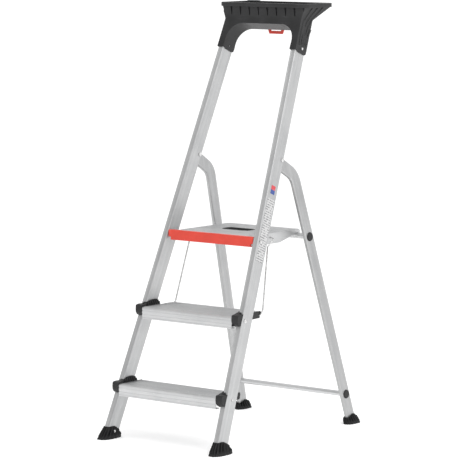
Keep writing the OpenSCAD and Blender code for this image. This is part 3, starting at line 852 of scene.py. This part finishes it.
class SubAssembly:
    """What every sub-assembly shares: dressing CAD nodes and placing new pieces."""

    def slot_of(self, node: str) -> str | None:
        """The record's material slot of a CAD node."""
        for entry in frame["record"]["subparts"]:
            if entry["node"] == node:
                return entry["material_slot"]
        return None

    def body_of(self, node: str) -> str:
        """The body of a CAD node."""
        for body, nodes in frame["record"]["behaviour"]["bodies"].items():
            if node in nodes:
                return body
        return Body.FRONT.value

    def place(
        self, piece: bpy.types.Object, body: str, slot: str | None, nodes: Sequence[str] = ()
    ) -> None:
        """Gives a piece its body and hides the nodes that it stands for.

        Args:
            piece: the finished object.
            body: the CAD body that it rides on.
            slot: the record's material slot; not used.
            nodes: CAD nodes that it replaces.
        """
        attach(piece, body)
        if nodes:
            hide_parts(*nodes)
        LOG.info("%s rides on %s with %d faces", piece.name, body, len(piece.data.polygons))

    def dress(self, node: str, material: bpy.types.Material, edge: Edge) -> bpy.types.Object:
        """Makes the shown skin of a CAD node, with its edges rounded.

        Args:
            node: the CAD node.
            material: its finish.
            edge: how its edges are rounded.

        Returns:
            The skin.
        """
        work = joined(node)
        if edge.merge:
            bmesh.ops.dissolve_limit(
                work, angle_limit=FLAT_ANGLE, verts=work.verts, edges=work.edges,
                use_dissolve_boundaries=False, delimit=set(),
            )
        mesh = bpy.data.meshes.new(f"{node}_skin")
        work.to_mesh(mesh)
        work.free()
        mesh.materials.append(material)
        piece = new_piece(f"{node}_skin", mesh)
        mesh.polygons.foreach_set("use_smooth", [True] * len(mesh.polygons))
        rounded = piece.modifiers.new("rounded", "BEVEL")
        rounded.width = edge.width
        rounded.segments = edge.segments
        rounded.limit_method = "ANGLE"
        rounded.angle_limit = edge.angle
        rounded.use_clamp_overlap = False
        rounded.miter_outer = "MITER_ARC"
        even = piece.modifiers.new("even", "WEIGHTED_NORMAL")
        even.weight = 60
        keep_result(piece)
        self.place(piece, self.body_of(node), self.slot_of(node), [node])
        return piece


# ---------- sub-assemblies ----------


@dataclass
class Workshop:
    """The finishes and geometry trees that the sub-assemblies share."""

    bars: BarTree = field(default_factory=BarTree)
    domes: DomeTree = field(default_factory=DomeTree)
    black: MouldedPlastic = MouldedPlastic(
        "black_plastic_grain", (0.016, 0.016, 0.017), (0.045, 0.045, 0.047)
    )
    rubber: MouldedPlastic = MouldedPlastic(
        "foot_rubber_matt", (0.017, 0.017, 0.018), (0.06, 0.06, 0.06),
        roughness=0.62, grain=700.0, depth=0.00014, shine=0.25,
    )
    tray: MouldedPlastic = MouldedPlastic(
        "tray_plastic_grain", (0.018, 0.018, 0.019), (0.05, 0.05, 0.052),
        roughness=0.42, grain=1100.0, depth=0.0001, shine=0.4,
    )
    red: MouldedPlastic = MouldedPlastic(
        "red_plastic_gloss", (0.74, 0.058, 0.034), (0.80, 0.16, 0.11),
        roughness=0.36, grain=1800.0, depth=0.00004, shine=0.4, shade=0.93,
    )
    pale: MouldedPlastic = MouldedPlastic(
        "pale_plastic_grain", (0.42, 0.43, 0.44), (0.52, 0.52, 0.53),
        roughness=0.42, grain=1500.0, depth=0.00005, shine=0.4,
    )
    steel: PlatedSteel = PlatedSteel("plated_steel")


@dataclass
class Stiles(SubAssembly):
    """The two front stiles: channels drawn along their length."""

    shop: Workshop
    lean: float = FRONT_LEAN
    tilt: float = 3.34
    label_row: float = 0.0072

    def axis(self, side: Side) -> Vector:
        """The direction of a stile, from floor to top."""
        lean = math.radians(self.lean)
        inward = -side.value * math.tan(math.radians(self.tilt))
        return Vector((inward, math.sin(lean), math.cos(lean))).normalized()

    def build(self) -> None:
        """Dresses the stiles and their printed films."""
        for side in Side:
            metal = SatinAluminium(side.named("stile_satin"), tone=0.51)
            self.dress(side.named("stile"), metal.make(self.axis(side)), METAL_EDGE)
        rows = PrintedFilm("panel_print", row=self.label_row)
        self.dress("label_panel", rows.make(self.axis(Side.RIGHT)), FILM_EDGE)
        low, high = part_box("label_badge")
        middle = (low + high) / 2
        axis = self.axis(Side.RIGHT)
        bands = PrintedFilm(
            "badge_print", split=axis.dot(middle),
            ground=(0.05, 0.09, 0.30), ink=(0.70, 0.06, 0.04),
        )
        self.dress("label_badge", bands.make(axis), FILM_EDGE)


@dataclass
class Treads(SubAssembly):
    """The lower and the folding middle tread with their caps, hubs and brackets."""

    shop: Workshop

    def build(self) -> None:
        """Dresses both treads and their moulded ends."""
        metal = SatinAluminium("tread_satin", tone=0.60, roughness=0.36).make(ACROSS)
        for node in ("lower_tread", "middle_tread"):
            self.dress(node, metal, FINE_EDGE)
        black = self.shop.black.make(UP)
        for side in Side:
            for stem in (
                "lower_bracket", "middle_bracket", "lower_cap", "middle_cap", "tread_hub",
            ):
                self.dress(side.named(stem), black, SOFT_EDGE if "bracket" in stem else METAL_EDGE)


@dataclass(frozen=True)
class LegFit:
    """How a leg sits in its foot."""

    half: tuple[float, float]
    across: float
    back: float
    depth: float = 0.0


@dataclass
class Feet(SubAssembly):
    """Rubber feet: flared fluted skirts with ribs, over a plain base lip."""

    shop: Workshop
    ribs: int = 18
    steps: int = 4
    rings: int = 9
    lip: float = 0.0075
    flute: float = 0.0056
    reach: float = 0.12
    probe: float = 0.0008
    rib_radius: float = 0.0023
    sink: float = 0.0012
    taper: float = 0.7
    sole: float = 0.0072
    flat_top: float = 0.85
    wall: float = 0.0016
    fade: float = 0.003
    least_rise: float = 0.004
    rib_every: int = 4
    grooves: tuple[float, ...] = (1.0, 0.5, 0.0, 0.5)
    front: LegFit = LegFit((0.0092, 0.0237), -0.0025, 0.030, 0.0235)
    rear: LegFit = LegFit((0.0065, 0.0192), -0.0005, 0.0035)

    def centre_line(self, node: str, axis: Vector, spot: Vector) -> tuple[Vector, Vector, Vector]:
        """The middle of a foot's base, its half size, and the shift of its middle with height.

        Args:
            node: the CAD node of the foot.
            axis: the direction of its leg.
            spot: where the middle of the leg meets the floor.

        Returns:
            The base middle, the half size and the shift for each metre of height.
        """
        low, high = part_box(node)
        base = Vector(((low.x + high.x) / 2, (low.y + high.y) / 2, 0.0))
        half = Vector(((high.x - low.x) / 2, (high.y - low.y) / 2, 0.0))
        crest = spot + axis * (high.z / axis.z)
        slide = Vector((crest.x - base.x, crest.y - base.y, 0.0)) / high.z
        return base, half, slide

    def pocket_point(
        self, spot: Vector, axis: Vector, way: Vector, size: tuple[float, float], z: float
    ) -> Vector:
        """A point of the leg's outline, where the foot's pocket holds it.

        Args:
            spot: where the middle of the leg meets the floor.
            axis: the direction of the leg.
            way: the level direction from the leg's middle.
            size: half the width and half the depth of the leg.
            z: the height.

        Returns:
            The point.
        """
        depth = size[1] / axis.z
        share = max(abs(way.x) / size[0], abs(way.y) / depth)
        middle = spot + axis * (z / axis.z)
        return Vector((middle.x, middle.y, z)) + way / share

    def skirt(
        self, node: str, axis: Vector, spot: Vector, size: tuple[float, float]
    ) -> tuple[bpy.types.Mesh, list[list[Vector]], list[list[float]]]:
        """Lofts the fluted skirt of a foot round its leg.

        Args:
            node: the CAD node of the foot.
            axis: the direction of its leg.
            spot: where the middle of the leg meets the floor.
            size: half the width and half the depth of the leg.

        Returns:
            The mesh, and the line and girths of each rib on it.
        """
        work = joined(node)
        skin = BVHTree.FromBMesh(work)
        work.free()
        base, half, slide = self.centre_line(node, axis, spot)
        count = self.ribs * self.steps
        columns = []
        lines, girths = [], []
        for k in range(count):
            turn = 2 * math.pi * k / count
            way = Vector((half.x * math.cos(turn), half.y * math.sin(turn), 0)).normalized()
            groove = self.grooves[k % self.steps]
            hits = []
            z = self.probe
            while True:
                middle = base + slide * z + Vector((0, 0, z))
                hit, normal, _, distance = skin.ray_cast(middle + way * self.reach, -way)
                if hit is None or distance > self.reach or normal.z > self.flat_top:
                    break
                hits.append(hit)
                z += self.probe
            column = []
            for j in range(self.rings):
                hit = hits[round(j * (len(hits) - 1) / (self.rings - 1))]
                level = hit.z if j else 0.0
                inner = self.pocket_point(spot, axis, way, size, level)
                room = max(0.0, (hit - inner).dot(way) - self.wall)
                rise = min(1.0, max(0.0, (level - self.lip) / self.fade))
                deep = min(self.flute * groove, room * groove) * rise
                column.append(Vector((hit.x, hit.y, level)) - way * deep)
            columns.append((column, way))
            if not groove and hits[-1].z > self.lip + self.least_rise:
                above = [point for point in hits if point.z > self.lip]
                line = [point - way * self.sink for point in above[::self.rib_every]]
                if len(line) > 1:
                    lines.append(line)
                    top = hits[-1].z
                    girths.append([1 - (1 - self.taper) * point.z / top for point in line])
        return self.loft(node, columns, spot, axis, size), lines, girths

    def loft(
        self,
        node: str,
        columns: list[tuple[list[Vector], Vector]],
        spot: Vector,
        axis: Vector,
        size: tuple[float, float],
    ) -> bpy.types.Mesh:
        """Joins the columns of a skirt into a closed foot with a pocket.

        Args:
            node: the CAD node of the foot.
            columns: the points up the skirt and the way out, for each step round.
            spot: where the middle of the leg meets the floor.
            axis: the direction of the leg.
            size: half the width and half the depth of the leg.

        Returns:
            The closed mesh.
        """
        work = bmesh.new()
        rows = []
        for column, way in columns:
            rim = self.pocket_point(spot, axis, way, size, column[-1].z)
            seat = self.pocket_point(spot, axis, way, size, self.sole)
            rows.append([work.verts.new(point) for point in (*column, rim, seat)])
        for first, second in zip(rows, rows[1:] + rows[:1]):
            for j in range(len(first) - 1):
                work.faces.new((first[j], second[j], second[j + 1], first[j + 1]))
        work.faces.new([row[0] for row in reversed(rows)])
        work.faces.new([row[-1] for row in rows])
        bmesh.ops.recalc_face_normals(work, faces=work.faces)
        bmesh.ops.triangulate(work, faces=[f for f in work.faces if len(f.verts) > 4])
        mesh = bpy.data.meshes.new(f"{node}_skirt")
        work.to_mesh(mesh)
        work.free()
        return mesh

    def leg(self, stem: str, side: Side) -> tuple[Vector, Vector, tuple[float, float]]:
        """The axis, floor point and half size of the leg that a foot holds.

        Args:
            stem: front_foot or rear_foot.
            side: the side of the ladder.

        Returns:
            The axis, the floor point and half the width and depth.
        """
        low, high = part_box(side.named(stem))
        if stem == "front_foot":
            axis, fit = Stiles(self.shop).axis(side), self.front
        else:
            axis, fit = RearFrame(self.shop).axis(side), self.rear
        x = (low.x + high.x) / 2 + side.value * fit.across
        y = (low.y + high.y) / 2 - fit.back + fit.depth / axis.z
        return axis, Vector((x, y, 0.0)), fit.half

    def build(self) -> None:
        """Lofts the four feet and sets their ribs."""
        rubber = self.shop.rubber.make(UP)
        for side in Side:
            for stem in ("front_foot", "rear_foot"):
                node = side.named(stem)
                mesh, lines, girths = self.skirt(node, *self.leg(stem, side))
                mesh.materials.append(rubber)
                mesh.polygons.foreach_set("use_smooth", [True] * len(mesh.polygons))
                mesh.set_sharp_from_angle(angle=CREASE)
                body, slot = self.body_of(node), self.slot_of(node)
                self.place(new_piece(f"{node}_skirt", mesh), body, slot, [node])
                ribs = new_piece(f"{node}_ribs", lines_mesh(f"{node}_ribs", lines, girths))
                self.shop.bars.apply(
                    ribs,
                    {
                        "Radius": self.rib_radius, "Corner Radius": 0.001, "Corner Steps": 1,
                        "Sides": 10, "Material": rubber,
                    },
                )
                point_outwards(ribs.data)
                self.place(ribs, body, slot)


@dataclass
class Platform(SubAssembly):
    """The folding platform: ribbed deck, beam, red front strip and side rails."""

    shop: Workshop

    def build(self) -> None:
        """Dresses the platform's pieces."""
        metal = SatinAluminium("deck_satin", tone=0.66, roughness=0.36).make(ACROSS)
        self.dress("platform_deck", metal, FINE_EDGE)
        self.dress("platform_beam", metal, METAL_EDGE)
        self.dress("platform_strip", self.shop.red.make(ACROSS), SOFT_EDGE)
        self.dress("slot_trim", self.shop.black.make(ACROSS), METAL_EDGE)
        for side in Side:
            rail = SatinAluminium(side.named("rail_satin"), tone=0.60)
            self.dress(side.named("platform_rail"), rail.make(BACKWARDS), METAL_EDGE)
            self.dress(side.named("platform_bush"), self.shop.black.make(ACROSS), FINE_EDGE)


@dataclass
class RearFrame(SubAssembly):
    """The rear legs, their cross tubes and plugs."""

    shop: Workshop
    lean: float = 16.36
    tilt: float = 3.55

    def axis(self, side: Side) -> Vector:
        """The direction of a rear leg, from floor to top."""
        lean = math.radians(self.lean)
        inward = -side.value * math.tan(math.radians(self.tilt))
        return Vector((inward, -math.sin(lean), math.cos(lean))).normalized()

    def build(self) -> None:
        """Dresses the rear frame."""
        for side in Side:
            metal = SatinAluminium(side.named("leg_satin"), tone=0.44)
            self.dress(side.named("rear_leg"), metal.make(self.axis(side)), FINE_EDGE)
        tube = SatinAluminium("cross_tube_satin", tone=0.64, roughness=0.34).make(ACROSS)
        self.dress("upper_tube", tube, FINE_EDGE)
        self.dress("lower_rung", tube, FINE_EDGE)
        self.dress("tube_plugs", self.shop.black.make(UP), METAL_EDGE)


@dataclass
class LinkRods(SubAssembly):
    """Bent wire rods that tie the middle tread to the platform."""

    shop: Workshop
    radius: float = 0.0022
    bend: float = 0.011
    low: Vector = field(default_factory=lambda: Vector((0.16646, -0.07277, 0.372)))
    high: Vector = field(default_factory=lambda: Vector((0.149, 0.01882, 0.595)))
    foot_length: float = 0.016
    pin_end: float = 0.125
    knee: tuple[float, float] = (0.013, 0.018)
    elbow: tuple[float, float] = (0.033, 0.024)
    run: Vector = field(default_factory=lambda: Vector((0.0, 0.38, 0.92)))

    def path(self, side: Side) -> list[Vector]:
        """The bend points of a rod, from its lower to its upper pin."""
        s = side.value
        low, high = self.low, self.high
        return [
            Vector((s * (low.x - self.foot_length), low.y, low.z)),
            Vector((s * low.x, low.y, low.z)),
            Vector((s * low.x, low.y + self.knee[0], low.z + self.knee[1])),
            Vector((s * high.x, high.y - self.elbow[0], high.z - self.elbow[1])),
            Vector((s * high.x, high.y, high.z)),
            Vector((s * self.pin_end, high.y, high.z)),
        ]

    def build(self) -> None:
        """Sweeps both rods."""
        wire = PlatedSteel("rod_wire_bright", tone=0.60, roughness=0.30)
        for side in Side:
            node = side.named("link_rod")
            metal = wire.make(self.run)
            rod = new_piece(f"{node}_wire", lines_mesh(f"{node}_wire", [self.path(side)]))
            self.shop.bars.apply(
                rod,
                {
                    "Radius": self.radius, "Corner Radius": self.bend, "Corner Steps": 8,
                    "Sides": 20, "Material": metal,
                },
            )
            point_outwards(rod.data)
            self.place(rod, self.body_of(node), self.slot_of(node), [node])


@dataclass
class Tray(SubAssembly):
    """The tool tray with its arch, its clip and its swinging hook."""

    shop: Workshop
    side_ribs: int = 4
    rib_radius: float = 0.0032
    sink: float = 0.0008
    foot_y: tuple[float, float] = (0.008, 0.040)
    head_y: tuple[float, float] = (0.026, 0.104)
    foot_rise: float = 0.034
    rim_drop: float = 0.0145
    reach: float = 0.25
    points: int = 22
    straight: float = 0.55
    least_x: float = 0.12
    least_points: int = 4

    def rib_lines(self) -> list[list[Vector]]:
        """Finds a line up the outer face of each tray leg for each rib."""
        work = joined("tray")
        skin = BVHTree.FromBMesh(work)
        work.free()
        low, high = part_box("tray")
        foot_z, head_z = low.z + self.foot_rise, high.z - self.rim_drop
        lean = math.tan(math.radians(FRONT_LEAN))
        lines = []
        for side in Side:
            for k in range(self.side_ribs):
                share = k / (self.side_ribs - 1)
                start = low.y + self.foot_y[0] + share * (self.foot_y[1] - self.foot_y[0])
                start += self.foot_rise * lean
                spread = self.head_y[0] + share * (self.head_y[1] - self.head_y[0])
                end = low.y + (head_z - low.z) * lean + spread - self.foot_y[0]
                line = []
                for n in range(self.points):
                    step = n / (self.points - 1)
                    along = self.straight * step + (1 - self.straight) * step * step
                    y = start + (end - start) * along
                    z = foot_z + (head_z - foot_z) * step
                    source = Vector((side.value * self.reach, y, z))
                    hit, normal, _, _ = skin.ray_cast(source, Vector((-side.value, 0, 0)))
                    if hit is None or abs(hit.x) < self.least_x:
                        break
                    line.append(hit - normal * self.sink)
                if len(line) >= self.least_points:
                    lines.append(line)
        return lines

    def build(self) -> None:
        """Dresses the tray and its hook."""
        plastic = self.shop.tray.make(ACROSS)
        self.dress("tray", plastic, SHELL_EDGE)
        ribs = new_piece("tray_side_ribs", lines_mesh("tray_side_ribs", self.rib_lines()))
        self.shop.bars.apply(
            ribs,
            {
                "Radius": self.rib_radius, "Corner Radius": 0.003, "Corner Steps": 2,
                "Sides": 10, "Material": plastic,
            },
        )
        point_outwards(ribs.data)
        self.place(ribs, Body.FRONT.value, self.slot_of("tray"))
        self.dress("tray_clip", self.shop.pale.make(ACROSS), METAL_EDGE)
        self.dress("bucket_hook", self.shop.red.make(ACROSS), METAL_EDGE)
        self.dress("hook_pin", self.shop.steel.make(ACROSS), FINE_EDGE)


@dataclass
class Hardware(SubAssembly):
    """Pins, rivets and screws with their domed heads."""

    shop: Workshop
    rise: float = 0.22
    outer_share: float = 0.93
    inner_share: float = 0.85
    outer: tuple[str, ...] = (
        "frame_pins", "tread_pins", "platform_pins", "bracket_rivets", "tray_screws",
    )
    inner: tuple[str, ...] = ("foot_rivets",)

    def heads(self, node: str, outwards: bool) -> list[tuple[Vector, Vector, float]]:
        """The place, aim and size of each head of a group.

        Args:
            node: the CAD node of the group.
            outwards: true where the heads face away from the middle.

        Returns:
            One entry for each head.
        """
        spots = []
        for low, high in islands(node):
            middle = (low + high) / 2
            sign = math.copysign(1.0, middle.x) * (1 if outwards else -1)
            place = Vector((high.x if sign > 0 else low.x, middle.y, middle.z))
            share = self.outer_share if outwards else self.inner_share
            girth = (high.y - low.y) / 2 * share
            spots.append((place, Vector((sign, 0.0, 0.0)), girth))
        return spots

    def build(self) -> None:
        """Dresses the shanks and sets all the heads."""
        steel = self.shop.steel.make(ACROSS)
        spots = []
        for node in (*self.outer, *self.inner):
            self.dress(node, steel, FINE_EDGE)
            spots += self.heads(node, node in self.outer)
        domes = new_piece("pin_and_rivet_domes", points_mesh("pin_and_rivet_domes", spots))
        self.shop.domes.apply(
            domes, {"Radius": 1.0, "Rise": self.rise, "Sides": 24, "Material": steel}
        )
        point_outwards(domes.data)
        self.place(domes, Body.FRONT.value, self.slot_of("frame_pins"))


@dataclass
class Studio:
    """The floor, the light and the camera."""

    eye: Vector = field(default_factory=lambda: Vector((5.3714, -6.7987, 1.6043)))
    back: Vector = field(default_factory=lambda: Vector((0.6165, -0.7791, 0.1137)))
    lens: float = 228.8
    sensor: float = 36.0
    floor_half: float = 60.0
    key_power: float = 60.0
    key_size: float = 2.6
    key_place: tuple[float, float, float] = (2.6, -0.8, 3.6)
    sky_way: tuple[float, float, float] = (0.55, 0.55, 0.35)
    sky_reach: float = 0.7
    sky_levels: tuple[float, float] = (0.72, 1.0)
    view_depth: float = 200.0

    def floor(self) -> None:
        """Lays the pale floor."""
        half = self.floor_half
        mesh = bpy.data.meshes.new("studio_floor")
        corners = [(-half, -half, 0), (half, -half, 0), (half, half, 0), (-half, half, 0)]
        mesh.from_pydata(corners, [], [(0, 1, 2, 3)])
        mesh.materials.append(StudioPaper("studio_paper").make(ACROSS))
        new_piece("studio_floor", mesh)

    def light(self) -> None:
        """Sets the even sky and one soft key light."""
        world = bpy.data.worlds.new("studio_sky")
        bpy.context.scene.world = world
        world.use_nodes = True
        graph = NodeGraph(world.node_tree)
        graph.tree.nodes.clear()
        way = graph.node("ShaderNodeTexCoord").outputs["Generated"]
        slope = graph.node(
            "ShaderNodeVectorMath", {"operation": "DOT_PRODUCT"}, {0: way, 1: self.sky_way}
        )
        shade = graph.node(
            "ShaderNodeMapRange",
            {"interpolation_type": "SMOOTHSTEP"},
            {
                "Value": slope.outputs["Value"],
                "From Min": -self.sky_reach, "From Max": self.sky_reach,
                "To Min": self.sky_levels[0], "To Max": self.sky_levels[1],
            },
        )
        path = graph.node("ShaderNodeLightPath")
        seen = graph.node(
            "ShaderNodeMath", {"operation": "MAXIMUM"},
            {0: path.outputs["Is Camera Ray"], 1: shade.outputs[0]},
        )
        sky = graph.node(
            "ShaderNodeBackground", {},
            {"Color": (1.0, 1.0, 1.0, 1.0), "Strength": seen.outputs[0]},
        )
        graph.node("ShaderNodeOutputWorld", {}, {"Surface": sky.outputs[0]})
        lamp = bpy.data.lights.new("key_softbox", "AREA")
        lamp.energy = self.key_power
        lamp.size = self.key_size
        holder = bpy.data.objects.new("key_softbox", lamp)
        bpy.context.scene.collection.objects.link(holder)
        holder.location = self.key_place
        holder.rotation_mode = "QUATERNION"
        holder.rotation_quaternion = holder.location.to_track_quat("Z", "Y")

    def camera(self) -> None:
        """Places the camera."""
        data = bpy.data.cameras.new("camera")
        data.lens = self.lens
        data.sensor_width = self.sensor
        data.clip_end = self.view_depth
        eye = bpy.data.objects.new("camera", data)
        bpy.context.scene.collection.objects.link(eye)
        eye.location = self.eye
        eye.rotation_mode = "QUATERNION"
        eye.rotation_quaternion = self.back.to_track_quat("Z", "Y")
        bpy.context.scene.camera = eye
        bpy.context.scene.view_settings.view_transform = "Standard"

    def build(self) -> None:
        """Sets up the whole studio."""
        self.floor()
        self.light()
        self.camera()


def main() -> None:
    """Builds the studio and every sub-assembly in order."""
    logging.basicConfig(level=logging.INFO, format="%(name)s: %(message)s")
    shop = Workshop()
    Studio().build()
    for part in (
        Stiles(shop), Treads(shop), Feet(shop), Platform(shop), RearFrame(shop),
        LinkRods(shop), Tray(shop), Hardware(shop),
    ):
        part.build()
        LOG.info("finished %s", type(part).__name__)


if __name__ == "__main__":
    main()
